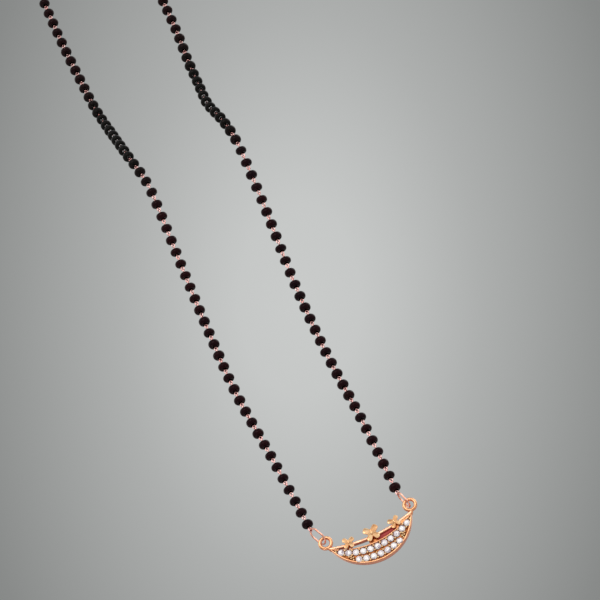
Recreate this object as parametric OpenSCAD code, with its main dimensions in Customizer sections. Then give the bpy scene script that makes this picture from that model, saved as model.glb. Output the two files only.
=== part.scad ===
// Short mangalsutra: a string of black glass beads on a gold-plated wire chain, with a small cast crescent
// pendant set with clear stones linked into its lower end. The origin is the point that it hangs from,
// under the clasp. +Z is up, +X is to the right and the pendant faces -Y.

/* [Beads] */
// Diameter of a bead
bead_d = 2.5; // [2:0.1:2.8]
// Length of a bead along its hole
bead_l = 1.8; // [1.4:0.1:2]
// Diameter of the hole through a bead
bead_hole = 0.9; // [0.8:0.05:1]
// Distance from one bead to the next along the strand, before it is evened out
bead_pitch = 3.25; // [3:0.05:4]
// Thickness of the wire that the beads are strung on
strand_wire = 0.36; // [0.3:0.02:0.4]

/* [Links] */
// Thickness of the wire of the oval links
link_wire = 0.42; // [0.3:0.02:0.5]
// Outer length of the left oval link
left_link_l = 5; // [4.6:0.1:5.4]
// Outer width of the left oval link
left_link_w = 3.2; // [3:0.1:3.6]
// Outer length of the right oval link
right_link_l = 4.6; // [4.3:0.1:5]
// Outer width of the right oval link
right_link_w = 2.8; // [2.6:0.1:3.2]
// Outer diameter of the small wire eye at each end of a strand
eye_d = 1.4; // [1.3:0.05:1.6]

/* [Pendant] */
// Distance between the two tips of the crescent
crescent_w = 20; // [19:0.2:22]
// Depth of the crescent's lower edge below its tips
outer_drop = 7.45; // [7.2:0.05:8]
// Depth of the crescent's upper edge below its tips
inner_drop = 2.95; // [2.6:0.05:3]
// Thickness of the casting from front to back
casting_t = 1.5; // [1.4:0.1:2]
// Width of the raised rim along the crescent's lower edge
rim_w = 0.44; // [0.3:0.02:0.5]
// Width of the raised rim along the crescent's upper edge
upper_rim_w = 0.3; // [0.24:0.02:0.4]
// Height of the rim above the floor that holds the stones
rim_h = 0.35; // [0.25:0.05:0.5]
// Height of the bar above the upper edge of the crescent, at the middle
bar_rise = 1.45; // [1.3:0.05:1.8]
// Width of the bar seen from the front
bar_w = 0.65; // [0.5:0.05:0.8]
// Depth of the bar from front to back
bar_t = 1.2; // [1:0.1:1.5]
// Outer diameter of the ring at each tip
ring_d = 3.4; // [3.35:0.05:3.6]
// Thickness of the ring at each tip
ring_wire = 0.8; // [0.7:0.02:0.84]

/* [Stones] */
// Diameter of a stone
stone_d = 1.5; // [1.3:0.05:1.56]
// Smallest space between neighbouring stones of a row
stone_space = 0.19; // [0.14:0.01:0.3]
// Length along the upper row that each end leaves free
upper_margin = 1.55; // [1.45:0.05:1.8]
// Length along the lower row that each end leaves free
lower_margin = 4.93; // [4.8:0.01:5.4]
// Distance of the upper row below the crescent's upper edge
upper_inset = 1.15; // [1.1:0.01:1.2]
// Distance of the lower row above the crescent's lower edge
lower_inset = 1.45; // [1.4:0.01:1.5]
// Diameter of a prong grain
grain_d = 0.38; // [0.3:0.02:0.4]

/* [Butterflies] */
// Span of the middle butterfly's wings
butterfly_w = 3.3; // [3:0.1:3.6]
// Size of the side butterflies as a share of the middle one
side_butterfly = 0.74; // [0.6:0.02:0.8]
// Distance of each side butterfly from the middle
side_butterfly_x = 5.6; // [5.2:0.1:6]
// How far each side butterfly leans towards the middle, in degrees
side_butterfly_lean = 12; // [0:1:20]
// How far the wings fold back from the body, in degrees
wing_fold = 20; // [5:1:30]
// Thickness of a wing
wing_t = 0.42; // [0.3:0.02:0.5]

/* [Clasp] */
// Length of the barrel clasp without its eyes
clasp_l = 8; // [6:0.5:10]
// Diameter of the barrel clasp
clasp_d = 3; // [2.5:0.1:4]

/* [Hang] */
// Drop from the hang point to the tips of the crescent
pendant_drop = 207.5; // [206:0.5:210]
// How far the pendant hangs in front of the hang point
pendant_forward = 37; // [36:0.5:38]
// How far the pendant hangs to the right of the hang point
pendant_side = 6; // [5:0.5:7]

/* [Hidden] */
// As many stones as fit in each row, and their even step
upper_run = crescent_w - 2 * upper_margin;
lower_run = crescent_w - 2 * lower_margin;
function stones_in(run) = floor(run / (stone_d + stone_space) + 0.001) + 1;
upper_count = stones_in(upper_run);
lower_count = stones_in(lower_run);
upper_step = upper_run / (upper_count - 1);
lower_step = lower_run / (lower_count - 1);

gold = "#d98a4a";
rose_wire = "#c98772";
bead_black = "#15100f";
stone_clear = "#e6e4ee";

// Running gap between pieces that sit in or beside each other
gap = 0.05;
// How far a cut runs past the face that it opens
past = 1;

// The chosen points of each strand in the shown pose, from the pendant up to where the round turn starts.
// In the lower stretch the strands hang down the chest, then they lie back over the collar and the neck.
LEFT_ROUTE = [
    [-7.5, -35.5, -181], [-9, -34, -162], [-9, -32, -142], [-8.5, -31, -123], [-8, -31.5, -110],
    [-8, -32, -102], [-9.5, -29.5, -93], [-10.5, -24.5, -85.5], [-11.5, -18.5, -77.5],
    [-12.5, -14, -69], [-13, -11, -59], [-13.5, -8, -45], [-13.5, -5.5, -28]
];
RIGHT_ROUTE = [
    [14.5, -35.5, -181], [13.5, -33, -162], [13.5, -31, -142], [14.5, -31.5, -123], [15, -33, -110],
    [15, -33.5, -102], [14, -30, -94], [12.5, -25, -86.5], [12.5, -20, -78],
    [12.5, -16, -69], [13, -13.5, -59], [13, -10, -44], [13, -6.5, -28]
];
// The hidden round turn behind the neck: its radius, and how far it leans back
turn_r = 13.6;
turn_lean = 11;

// Where the pendant's own frame lies: on the line between the crescent's tips, at mid-depth
pendant_at = [pendant_side, -pendant_forward, -pendant_drop];
ring_r = (ring_d - ring_wire) / 2;
tip_x = crescent_w / 2;
// The rings stand on the tips on a short neck, turned out by this angle from straight up. The neck is a
// little thinner than the ring and starts this deep inside the tip
ring_turn = 10;
neck_l = 0.25;
neck_d = ring_wire - 0.08;
neck_root = 0.5;
ring_at = [
    tip_x + (ring_d / 2 + neck_l) * sin(ring_turn),
    0,
    (ring_d / 2 + neck_l) * cos(ring_turn)
];
// Where each link's lower wire lies in its ring's hole, how far it leans, and how far it is turned
left_link_shift = [0, 0, 0.2];
left_link_lean = -24;
left_link_turn = -28;
right_link_shift = [-0.1, 0, -0.3];
right_link_lean = -18;
right_link_turn = -12;
// From the middle of a strand's end eye to the middle of the nearest bead, with a space between them
eye_space = 0.1;
eye_to_bead = (eye_d + bead_l) / 2 + eye_space;

// Steps of the large arcs, which are true arcs in the solid
arc_steps = 180;

// Name of a stone's node, such as stone_upper_01
function stone_name(row, i) = str("stone_", row, "_", i < 10 ? "0" : "", i);

// Radius of the arc through two points a chord apart that reaches a drop below them
function arc_r(chord, drop) = (chord * chord / 4 + drop * drop) / (2 * drop);

outer_r = arc_r(crescent_w, outer_drop);
inner_r = arc_r(crescent_w, inner_drop);
outer_z = outer_r - outer_drop;
inner_z = inner_r - inner_drop;
bar_drop = inner_drop - bar_rise;
bar_r = arc_r(crescent_w, bar_drop);
bar_z = bar_r - bar_drop;
front_y = -casting_t / 2;
floor_y = front_y + rim_h;

// The arc that a row of stones lies on, its radius as a share of the radius of the edge beside it
upper_bend = 0.874;
lower_bend = 1.399;
upper_r = upper_bend * inner_r;
lower_r = lower_bend * outer_r;
upper_bottom = inner_drop + upper_inset;
lower_bottom = outer_drop - lower_inset;

// Place of stone i of a row of n, or of a point between two stones where i isn't whole
function row_point(i, n, step, r, bottom, lift) =
    let (a = (i - (n + 1) / 2) * step / r * 180 / PI)
    [(r - lift) * sin(a), 0, r - bottom - (r - lift) * cos(a)];
function upper_point(i, lift = 0) =
    row_point(i, upper_count, upper_step, upper_r, upper_bottom, lift);
function lower_point(i, lift = 0) =
    row_point(i, lower_count, lower_step, lower_r, lower_bottom, lift);

// Smooth curve through a list of points: the point at u, where whole numbers are the points themselves
function clamp_at(p, i) = p[max(0, min(len(p) - 1, i))];
function curve_point(p, u) =
    let (
        i = min(len(p) - 2, floor(u)),
        t = u - i,
        b = p[i],
        c = p[i + 1],
        a = i == 0 ? 2 * b - c : p[i - 1],
        d = i == len(p) - 2 ? 2 * c - b : p[i + 2]
    )
    0.5 * (2 * b + (c - a) * t + (2 * a - 5 * b + 4 * c - d) * t * t + (3 * b - a - 3 * c + d) * t * t * t);
function curve(p, fine = 12) = [for (k = [0:(len(p) - 1) * fine]) curve_point(p, k / fine)];

// Length along a fine curve up to each of its points, and the point at a given length
function run_lengths(q, i = 0, total = 0, done = []) =
    i == len(q)
        ? done
        : let (step = i == 0 ? 0 : norm(q[i] - q[i - 1]))
          run_lengths(q, i + 1, total + step, concat(done, [total + step]));
function along(q, lengths, s) =
    [for (axis = [0:2]) lookup(s, [for (i = [0:len(q) - 1]) [lengths[i], q[i][axis]]])];

// How far from the clasp's middle its own eyes stand, and the strands' end eyes that hook round their
// outer wire
clasp_ring_x = clasp_l / 2 + eye_d / 2 - strand_wire;
clasp_eye_x = clasp_ring_x + (eye_d - strand_wire) / 2;
// The round turn from the side of the loop to the clasp, as points of one arc
turn_end = acos(clasp_eye_x / turn_r);
function turn_point(side, a) =
    [
        side * turn_r * cos(a),
        turn_r * (sin(a) - 1) * sin(turn_lean),
        turn_r * (sin(a) - 1) * cos(turn_lean) + clasp_d / 2
    ];
function turn_points(side) = [for (k = [0:4]) turn_point(side, turn_end * k / 4)];

// Outer ends of the two links: the middle of the top wire, where a strand's lower eye hangs
function lean_axis(lean) = [sin(lean), 0, cos(lean)];
function link_foot(side, shift) = pendant_at + [side * ring_at[0], 0, ring_at[2]] + shift;
function link_top(foot, l, lean) = foot + (l - link_wire) * lean_axis(lean);
left_foot = link_foot(-1, left_link_shift);
right_foot = link_foot(1, right_link_shift);
left_top = link_top(left_foot, left_link_l, left_link_lean);
right_top = link_top(right_foot, right_link_l, right_link_lean);

left_curve = curve(concat([left_top], LEFT_ROUTE, turn_points(-1)));
right_curve = curve(concat([right_top], RIGHT_ROUTE, turn_points(1)));
left_lengths = run_lengths(left_curve);
right_lengths = run_lengths(right_curve);

// Beads of a strand and their even step, from the strand's own length
function strand_end(lengths) = lengths[len(lengths) - 1];
function bead_count(lengths) = floor((strand_end(lengths) - 2 * eye_to_bead) / bead_pitch) + 1;
function bead_step(lengths) = (strand_end(lengths) - 2 * eye_to_bead) / (bead_count(lengths) - 1);

// The wire's corners lie midway between the beads, so that it runs straight through each hole
eye_r = (eye_d - strand_wire) / 2;
stem = eye_r + strand_wire;
function corner_runs(lengths) =
    let (n = bead_count(lengths), step = bead_step(lengths))
    concat(
        [stem],
        [for (k = [1:n - 1]) eye_to_bead + (k - 0.5) * step],
        [strand_end(lengths) - stem]
    );
function corners(q, lengths) = [for (s = corner_runs(lengths)) along(q, lengths, s)];

// Turns the Z axis into a direction
module point_along(v) {
    rotate([0, acos(v[2] / norm(v)), atan2(v[1], v[0])])
        children();
}

// A bead: a round-sided, flattened glass ring turned about its hole
bead_steps = 16;
module bead() {
    rotate_extrude($fn = 72)
        difference() {
            polygon([
                for (k = [0:bead_steps - 1])
                    let (a = 360 * k / bead_steps)
                    [(bead_d - bead_l + bead_l * cos(a)) / 2, bead_l * sin(a) / 2]
            ]);
            translate([-bead_d, -bead_d])
                square([bead_d + bead_hole / 2, 2 * bead_d]);
        }
}

module strand_beads(q, lengths) {
    c = corners(q, lengths);
    n = len(c) - 1;
    for (k = [0:n - 1]) {
        v = c[k + 1] - c[k];
        middle = k == 0
            ? c[0] + v / norm(v) * (eye_to_bead - stem)
            : k == n - 1
                ? c[n] - v / norm(v) * (eye_to_bead - stem)
                : (c[k] + c[k + 1]) / 2;
        translate(middle)
            point_along(v)
                bead();
    }
}

// Wire swept along a list of points as one tube. The wire never runs along the Y axis
function unit(v) = v / norm(v);
function run_dir(c, i, closed) =
    let (n = len(c))
    closed
        ? unit(c[(i + 1) % n] - c[(i + n - 1) % n])
        : unit(clamp_at(c, i + 1) - clamp_at(c, i - 1));
module swept_wire(c, d, sides = 6, closed = false, keep_off = [0, 1, 0]) {
    n = len(c);
    points = [
        for (i = [0:n - 1])
            let (
                v = run_dir(c, i, closed),
                side_dir = unit(cross(v, keep_off)),
                up_dir = cross(side_dir, v)
            )
            for (k = [0:sides - 1])
                c[i] + d / 2 * (cos(360 * k / sides) * side_dir + sin(360 * k / sides) * up_dir)
    ];
    last = closed ? n - 1 : n - 2;
    walls = [
        for (i = [0:last], k = [0:sides - 1])
            let (
                a = i * sides + k,
                b = i * sides + (k + 1) % sides,
                up = ((i + 1) % n) * sides,
                e = up + k,
                f = up + (k + 1) % sides
            )
            each [[a, b, f], [a, f, e]]
    ];
    caps = closed
        ? []
        : [[for (k = [sides - 1:-1:0]) k], [for (k = [0:sides - 1]) (n - 1) * sides + k]];
    polyhedron(points, concat(walls, caps), convexity = 10);
}

// A round wire ring whose axis is Z
module wire_ring(d, wire) {
    rotate_extrude($fn = 72)
        translate([(d - wire) / 2, 0])
            circle(d = wire, $fn = 36);
}

// An open eye at the end of a strand's wire: points from its free end round to the stem
eye_gap = 38;
function eye_points(middle, stem_dir, axis) =
    let (side_dir = unit(cross(axis, stem_dir)), up_dir = unit(stem_dir))
    [
        for (k = [0:10])
            let (a = eye_gap + (360 - 2 * eye_gap) * k / 10)
            middle + eye_r * (cos(a) * up_dir + sin(a) * side_dir)
    ];
function reversed(p) = [for (i = [len(p) - 1:-1:0]) p[i]];
module strand_wire_with_eyes(q, lengths, start_axis, end_axis) {
    c = corners(q, lengths);
    n = len(c) - 1;
    start = along(q, lengths, 0);
    end = along(q, lengths, strand_end(lengths));
    swept_wire(
        concat(
            eye_points(start, c[0] - start, start_axis),
            c,
            reversed(eye_points(end, c[n] - end, end_axis))
        ),
        strand_wire
    );
}

// An oval link: two straight sides and two round ends, in the XZ plane, standing on the middle of its
// lower wire
link_steps = 8;
module oval_link(l, w) {
    r = (w - link_wire) / 2;
    straight = l - w;
    turn = [for (k = [0:link_steps]) -90 + 180 * k / link_steps];
    swept_wire(
        concat(
            [for (a = turn) [r * sin(a), 0, r - r * cos(a)]],
            [for (a = turn) [-r * sin(a), 0, r + straight + r * cos(a)]]
        ),
        link_wire,
        closed = true
    );
}

module left_link() {
    color(gold)
        translate(left_foot)
            rotate([0, left_link_lean, 0])
                rotate([0, 0, 90 - left_link_turn])
                    oval_link(left_link_l, left_link_w);
}

module right_link() {
    color(gold)
        translate(right_foot)
            rotate([0, right_link_lean, 0])
                rotate([0, 0, 90 - right_link_turn])
                    oval_link(right_link_l, right_link_w);
}

module beads_left() {
    color(bead_black)
        strand_beads(left_curve, left_lengths);
}

module beads_right() {
    color(bead_black)
        strand_beads(right_curve, right_lengths);
}

// The way a link's top wire runs, which the lower eye of its strand goes round
function top_wire_run(turn) = [sin(turn), cos(turn), 0];
clasp_wire_run = [0, 1, 0];

module wire_left() {
    color(rose_wire)
        strand_wire_with_eyes(left_curve, left_lengths, top_wire_run(left_link_turn), clasp_wire_run);
}

module wire_right() {
    color(rose_wire)
        strand_wire_with_eyes(right_curve, right_lengths, top_wire_run(right_link_turn), clasp_wire_run);
}

// The hidden clasp: a plain barrel with an eye at each end that a strand's eye hangs in
module clasp() {
    color(gold)
        translate([0, 0, clasp_d / 2]) {
            rotate([0, 90, 0])
                cylinder(d = clasp_d, h = clasp_l, center = true, $fn = 48);
            for (side = [-1, 1])
                translate([side * clasp_ring_x, 0, 0])
                    wire_ring(eye_d, strand_wire);
        }
}

// The stretch between two arcs that share the crescent's tips, pulled in from its lower and upper edges
module crescent_outline(lower = 0, upper = 0) {
    difference() {
        translate([0, outer_z])
            circle(r = outer_r - lower, $fn = arc_steps);
        translate([0, inner_z])
            circle(r = inner_r + upper, $fn = arc_steps);
    }
}

// Turns a drawing in the plane into a plate that faces -Y, from its front at y to its back
module plate(y, t) {
    translate([0, y + t, 0])
        rotate([90, 0, 0])
            linear_extrude(height = t)
                children();
}

module tray() {
    difference() {
        plate(front_y, casting_t)
            crescent_outline();
        plate(front_y - past, rim_h + past)
            crescent_outline(rim_w, upper_rim_w);
    }
}

// The bar from tip to tip
module bar() {
    plate(front_y, bar_t)
        difference() {
            translate([0, bar_z])
                circle(r = bar_r + bar_w / 2, $fn = arc_steps);
            translate([0, bar_z])
                circle(r = bar_r - bar_w / 2, $fn = arc_steps);
            translate([-3 * bar_r, 0])
                square([6 * bar_r, 6 * bar_r]);
            for (side = [-1, 1])
                translate([side * (tip_x + bar_r) - bar_r, -3 * bar_r])
                    square([2 * bar_r, 6 * bar_r]);
        }
}

// The thin web that closes the window under the bar's right half, how far it lies behind the front, and how
// far it reaches past the middle, behind the middle butterfly
web_t = 0.4;
web_set_back = 0.45;
web_past_middle = 1.3;
module window_web() {
    plate(front_y + web_set_back, web_t)
        difference() {
            translate([0, inner_z])
                circle(r = inner_r + upper_rim_w / 2, $fn = arc_steps);
            translate([0, bar_z])
                circle(r = bar_r, $fn = arc_steps);
            translate([-2 * tip_x - web_past_middle, -2 * tip_x])
                square([2 * tip_x, 4 * tip_x]);
        }
}

module tip_ring(side) {
    translate([side * tip_x, 0, 0])
        rotate([0, side * ring_turn, 0]) {
            translate([0, 0, -neck_root])
                cylinder(d = neck_d, h = neck_root + neck_l + ring_wire / 2, $fn = 36);
            translate([0, 0, neck_l + ring_d / 2])
                rotate([0, -90, 0])
                    rotate([90, 0, 0])
                        wire_ring(ring_d, ring_wire);
        }
}

// The wings on one side of a butterfly, as shares of its span. They lie in the XZ plane and face -Y
WINGS = [
    // angle from straight up, reach from the body, width of the rounded end
    [49, 0.63, 0.41],
    [145, 0.61, 0.4]
];
// Width of a wing at its root, as a share of its rounded end
root_share = 0.58;
// The straight sides of a wing end this share of the way out to the edge of its round end
side_share = 0.98;
module wing(reach, end_w) {
    end_r = end_w / 2;
    root_r = end_r * root_share;
    lean = asin((end_r - root_r) / (reach - end_r));
    corner = side_share * end_r * [cos(lean), -sin(lean)] + [0, reach - end_r];
    union() {
        translate([0, reach - end_r])
            circle(r = end_r, $fn = 48);
        polygon([[-root_r, 0], [root_r, 0], corner, [-corner[0], corner[1]]]);
    }
}

// Each wing is dished by a sphere this large, which sinks this far into it, both as shares of the span
dish_r = 0.55;
dish_depth = 0.03;
// A wing reaches this far behind the body, into the bar
wing_back = 0.3;
// The body's thickness and length as shares of the span, and how far it stands in front of the wings
body_d = 0.125;
body_l = 0.45;
body_lift = 0.02;
module butterfly(span) {
    for (side = [-1, 1])
        rotate([0, 0, side * wing_fold])
            for (w = WINGS)
                rotate([0, side * w[0], 0])
                    difference() {
                        plate(-wing_t, wing_t + wing_back)
                            wing(w[1] * span, w[2] * span);
                        translate([0, -wing_t - (dish_r - dish_depth) * span, (w[1] - w[2] / 2) * span])
                            sphere(r = dish_r * span, $fn = 72);
                    }
    translate([0, -wing_t - body_lift, -body_l * span / 2])
        cylinder(d = body_d * span, h = body_l * span, $fn = 24);
}

// How far the middle of each butterfly stands above the bar's own middle line, the side ones less, and
// how far in front of it
function bar_height(x) = bar_z - sqrt(bar_r * bar_r - x * x);
butterfly_rise = 0.8;
side_butterfly_rise = 0.45;
butterfly_y = front_y - 0.15;

module butterflies() {
    translate([0, butterfly_y, bar_height(0) + butterfly_rise])
        butterfly(butterfly_w);
    for (side = [-1, 1])
        translate([side * side_butterfly_x, butterfly_y, bar_height(side_butterfly_x) + side_butterfly_rise])
            rotate([0, -side * side_butterfly_lean, 0])
                butterfly(butterfly_w * side_butterfly);
}

// Sizes of a brilliant-cut stone as shares of its diameter
crown_share = 0.16;
girdle_share = 0.04;
pavilion_share = 0.43;
table_share = 0.56;
// Where the corners between the kite facets lie, above and below the girdle, as shares of the radius
star_r = 0.76;
low_r = 0.26;
// The girdle stands this far in front of the floor
girdle_lift = 0.14;
stone_y = floor_y - girdle_lift;

// A round brilliant with its girdle's middle at the origin and its table facing -Y
module brilliant(d) {
    r = d / 2;
    h = crown_share * d;
    g = girdle_share * d / 2;
    p = pavilion_share * d;
    star_h = h * (1 - star_r * cos(22.5)) / (1 - table_share);
    low_h = (p - g) * (1 - low_r * cos(22.5));
    function at(a, radius, y) = [radius * sin(a), y, radius * cos(a)];
    points = concat(
        [for (i = [0:7]) at(45 * i, table_share * r, -g - h)],
        [for (i = [0:7]) at(45 * i + 22.5, star_r * r, -g - star_h)],
        [for (i = [0:15]) at(22.5 * i, r, -g)],
        [for (i = [0:15]) at(22.5 * i, r, g)],
        [for (i = [0:7]) at(45 * i + 22.5, low_r * r, g + low_h)],
        [[0, p, 0]]
    );
    faces = concat(
        [[7, 6, 5, 4, 3, 2, 1, 0]],
        [for (i = [0:7]) [i, (i + 1) % 8, 8 + i]],
        [
            for (i = [0:7])
                let (a = 16 + 2 * i, last = 8 + (i + 7) % 8)
                each [[i, 8 + i, a], [i, a, last]]
        ],
        [
            for (i = [0:7])
                let (a = 16 + 2 * i, b = a + 1, c = 16 + (2 * i + 2) % 16)
                each [[8 + i, b, a], [8 + i, c, b]]
        ],
        [
            for (i = [0:15])
                let (a = 16 + i, b = 16 + (i + 1) % 16)
                each [[a, b, b + 16], [a, b + 16, a + 16]]
        ],
        [
            for (i = [0:7])
                let (a = 32 + 2 * i, b = a + 1, c = 32 + (2 * i + 2) % 16)
                each [[48 + i, a, b], [48 + i, b, c]]
        ],
        [
            for (i = [0:7])
                let (a = 32 + 2 * i, last = 48 + (i + 7) % 8)
                each [[56, a, 48 + i], [56, last, a]]
        ]
    );
    polyhedron(points, faces, convexity = 2);
}

// The seat of a stone: a cone a gap wider than the stone, and a hole through to the back
back_hole_share = 0.45;
seat_end_share = 0.16;
module seat() {
    r = stone_d / 2 + gap;
    g = girdle_share * stone_d / 2;
    depth = pavilion_share * stone_d + gap;
    rotate([-90, 0, 0]) {
        translate([0, 0, g])
            cylinder(r1 = r, r2 = r * seat_end_share, h = depth, $fn = 48);
        translate([0, 0, g - past])
            cylinder(r = r, h = past, $fn = 48);
        cylinder(d = stone_d * back_hole_share, h = casting_t * 2, $fn = 36);
    }
}

module stone_at(p) {
    color(stone_clear)
        translate(pendant_at + p + [0, stone_y, 0])
            brilliant(stone_d);
}

// A prong grain: a small ball whose middle stands this share of its diameter in front of the floor
grain_lift = 0.2;
module grain(p) {
    translate(p + [0, floor_y - grain_lift * grain_d, 0])
        rotate([90, 0, 0])
            sphere(d = grain_d, $fn = 24);
}

// The grains that fill the crescent beside the lower row's ends: how far past the last stone, in steps of
// the row, and how far above the row. One more grain stands past each end of the upper row
END_GRAINS = [[0.72, -0.1], [0.76, 0.42], [1.05, 0.22], [1.1, 0.7], [1.38, 0.55]];
tip_grain = 0.68;
// How far the grains between two stones stand above and below the row
side_lift = 0.54;
// Prong grains between the stones, and the clusters that fill the crescent's narrow ends
module grains() {
    for (i = [1:upper_count - 1])
        for (lift = [-side_lift, side_lift])
            grain(upper_point(i + 0.5, lift));
    for (i = [1:lower_count - 1])
        for (lift = [-side_lift, side_lift])
            grain(lower_point(i + 0.5, lift));
    for (end = [-1, 1]) {
        row_end = (lower_count + 1) / 2 + end * (lower_count - 1) / 2;
        for (g = END_GRAINS)
            grain(lower_point(row_end + end * g[0], g[1]));
        upper_end = (upper_count + 1) / 2 + end * (upper_count - 1) / 2;
        grain(upper_point(upper_end + end * tip_grain, 0));
    }
}

module pendant_frame() {
    color(gold)
        translate(pendant_at)
            difference() {
                union() {
                    tray();
                    bar();
                    window_web();
                    tip_ring(-1);
                    tip_ring(1);
                    butterflies();
                    grains();
                }
                for (i = [1:upper_count])
                    translate(upper_point(i) + [0, stone_y, 0])
                        seat();
                for (i = [1:lower_count])
                    translate(lower_point(i) + [0, stone_y, 0])
                        seat();
            }
}

pendant_frame();
for (i = [1:upper_count])
    stone_at(upper_point(i));
for (i = [1:lower_count])
    stone_at(lower_point(i));
left_link();
right_link();
beads_left();
beads_right();
wire_left();
wire_right();
clasp();
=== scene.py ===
# A short mangalsutra: a string of black glass beads on rose gold pins, with a small gold-plated
# crescent pendant. Everything is in metres. +Z is up, +X is to the right and the pendant faces -Y.
import math
import random

import bmesh
import bpy
import numpy as np
from mathutils import Matrix, Vector


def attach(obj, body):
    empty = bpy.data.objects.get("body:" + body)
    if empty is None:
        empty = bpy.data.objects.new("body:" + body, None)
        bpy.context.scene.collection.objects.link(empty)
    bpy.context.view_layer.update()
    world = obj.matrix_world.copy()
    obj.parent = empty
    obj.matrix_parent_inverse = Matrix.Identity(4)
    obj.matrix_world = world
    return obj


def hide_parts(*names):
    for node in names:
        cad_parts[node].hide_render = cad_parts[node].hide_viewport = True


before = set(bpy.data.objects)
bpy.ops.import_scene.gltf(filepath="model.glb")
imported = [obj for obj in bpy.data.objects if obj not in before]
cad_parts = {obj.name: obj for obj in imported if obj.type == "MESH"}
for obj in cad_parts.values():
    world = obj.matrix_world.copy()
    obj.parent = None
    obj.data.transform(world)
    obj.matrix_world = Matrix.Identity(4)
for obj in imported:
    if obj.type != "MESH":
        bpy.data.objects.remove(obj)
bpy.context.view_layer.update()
MM = 0.001

# The camera
# The photograph looks up at the pendant from in front and below, with the picture turned a little. A
# point half a millimetre above the middle of the crescent's tips falls on one known spot of the frame,
# which is 600 pixels wide and high.
frame_px = 600
focal_px = 4838.4
aim_px = (370.1, 529.4)
look_up = math.radians(25)
roll = math.radians(24.6)
camera_distance = 1080 * MM
pendant_at = Vector((6, -37, -207.5)) * MM
aim_at = pendant_at + Vector((0, 0, 0.5)) * MM

forward = Vector((0, math.cos(look_up), math.sin(look_up)))
level_right = Vector((1, 0, 0))
level_up = level_right.cross(forward)
right = math.cos(roll) * level_right - math.sin(roll) * level_up
down = -math.sin(roll) * level_right - math.cos(roll) * level_up
px_at_aim = camera_distance / focal_px
camera_data = bpy.data.cameras.new("photo_camera")
camera_data.sensor_width = 36
camera_data.lens = camera_data.sensor_width * focal_px / frame_px
camera_data.clip_start = 0.05
camera_data.clip_end = 20
camera = bpy.data.objects.new("photo_camera", camera_data)
bpy.context.scene.collection.objects.link(camera)
camera.matrix_world = Matrix.Translation(
    aim_at
    - (aim_px[0] - frame_px / 2) * px_at_aim * right
    - (aim_px[1] - frame_px / 2) * px_at_aim * down
    - camera_distance * forward
) @ Matrix((right, -down, -forward)).transposed().to_4x4()
bpy.context.scene.camera = camera

# The studio
# A plain pale floor well below the hanging piece, a grey backdrop that is lightest behind the string,
# soft light all round, and a few large soft boxes that draw long highlights on the metal and the glass.
bpy.context.scene.view_settings.view_transform = "Standard"
bpy.context.scene.view_settings.look = "None"


def linear(shade):
    """The linear value of a display shade from 0 to 255."""
    share = shade / 255
    return share / 12.92 if share <= 0.04045 else ((share + 0.055) / 1.055) ** 2.4


class Nodes:
    """Adds nodes to a material's or world's tree and joins them, one call a node."""

    def __init__(self, tree):
        self.tree = tree
        tree.nodes.clear()

    def add(self, kind, inputs=None, **settings):
        """One node. Each of its inputs is a value or another node's socket."""
        node = self.tree.nodes.new("ShaderNode" + kind)
        for name, value in settings.items():
            setattr(node, name, value)
        for name, value in (inputs or {}).items():
            if isinstance(value, bpy.types.NodeSocket):
                self.tree.links.new(value, node.inputs[name])
            else:
                node.inputs[name].default_value = value
        return node

    def math(self, operation, a, b=0.0):
        return self.add("Math", {0: a, 1: b}, operation=operation).outputs[0]

    def dot(self, a, direction):
        return self.add(
            "VectorMath", {0: a, 1: tuple(direction)}, operation="DOT_PRODUCT"
        ).outputs["Value"]

    def ramp(self, share, stops):
        """A colour ramp whose stops are (place, colour) pairs."""
        node = self.add("ValToRGB", {0: share})
        elements = node.color_ramp.elements
        while len(elements) < len(stops):
            elements.new(0.5)
        for element, (place, colour) in zip(elements, stops):
            element.position = place
            element.color = (*colour[:3], 1)
        return node.outputs[0]


world = bpy.data.worlds.new("studio")
world.use_nodes = True
bpy.context.scene.world = world
w = Nodes(world.node_tree)
direction = w.add("TexCoord").outputs["Generated"]
least_ahead = 0.2
ahead = w.math("MAXIMUM", w.dot(direction, forward), least_ahead)
across_px = w.math("MULTIPLY", w.math("DIVIDE", w.dot(direction, right), ahead), focal_px)
down_px = w.math("MULTIPLY", w.math("DIVIDE", w.dot(direction, down), ahead), focal_px)
glow_height = 1.6
glow_down = w.math("DIVIDE", down_px, glow_height)
across_square = w.math("MULTIPLY", across_px, across_px)
down_square = w.math("MULTIPLY", glow_down, glow_down)
glow_px = w.math("SQRT", w.math("ADD", across_square, down_square))
# The backdrop's shade, a faintly green grey, at a few distances in pixels from the middle of its glow
GLOW = [(0, 202), (60, 199), (100, 192), (180, 174), (290, 151), (344, 138), (400, 130)]
glow_end = GLOW[-1][0]
backdrop = w.ramp(
    w.math("DIVIDE", glow_px, glow_end),
    [(px / glow_end, [linear(shade - 1), linear(shade + 1), linear(shade)]) for px, shade in GLOW],
)
# What the metal and the glass see all round, from straight down at 0 to straight up at 1: a warm glow
# from below, dim light at eye height and bright light above it
STUDIO_RING = [
    (0.0, (0.9, 0.74, 0.68)),
    (0.3, (0.6, 0.5, 0.46)),
    (0.48, (0.5, 0.48, 0.47)),
    (0.68, (1.6, 1.57, 1.54)),
    (0.85, (1.3, 1.3, 1.3)),
    (1.0, (0.8, 0.8, 0.82)),
]
facing_up = w.dot(direction, (0, 0, 1))
height = w.add("Math", {0: facing_up, 1: 0.5, 2: 0.5}, operation="MULTIPLY_ADD").outputs[0]
room = w.ramp(height, STUDIO_RING)
seen = w.add("LightPath").outputs["Is Camera Ray"]
room_strength = 0.62
room_light = w.add("Background", {"Color": room, "Strength": room_strength})
backdrop_light = w.add("Background", {"Color": backdrop, "Strength": 1.0})
sky = w.add("MixShader", {0: seen, 1: room_light.outputs[0], 2: backdrop_light.outputs[0]})
w.add("OutputWorld", {"Surface": sky.outputs[0]})

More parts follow.
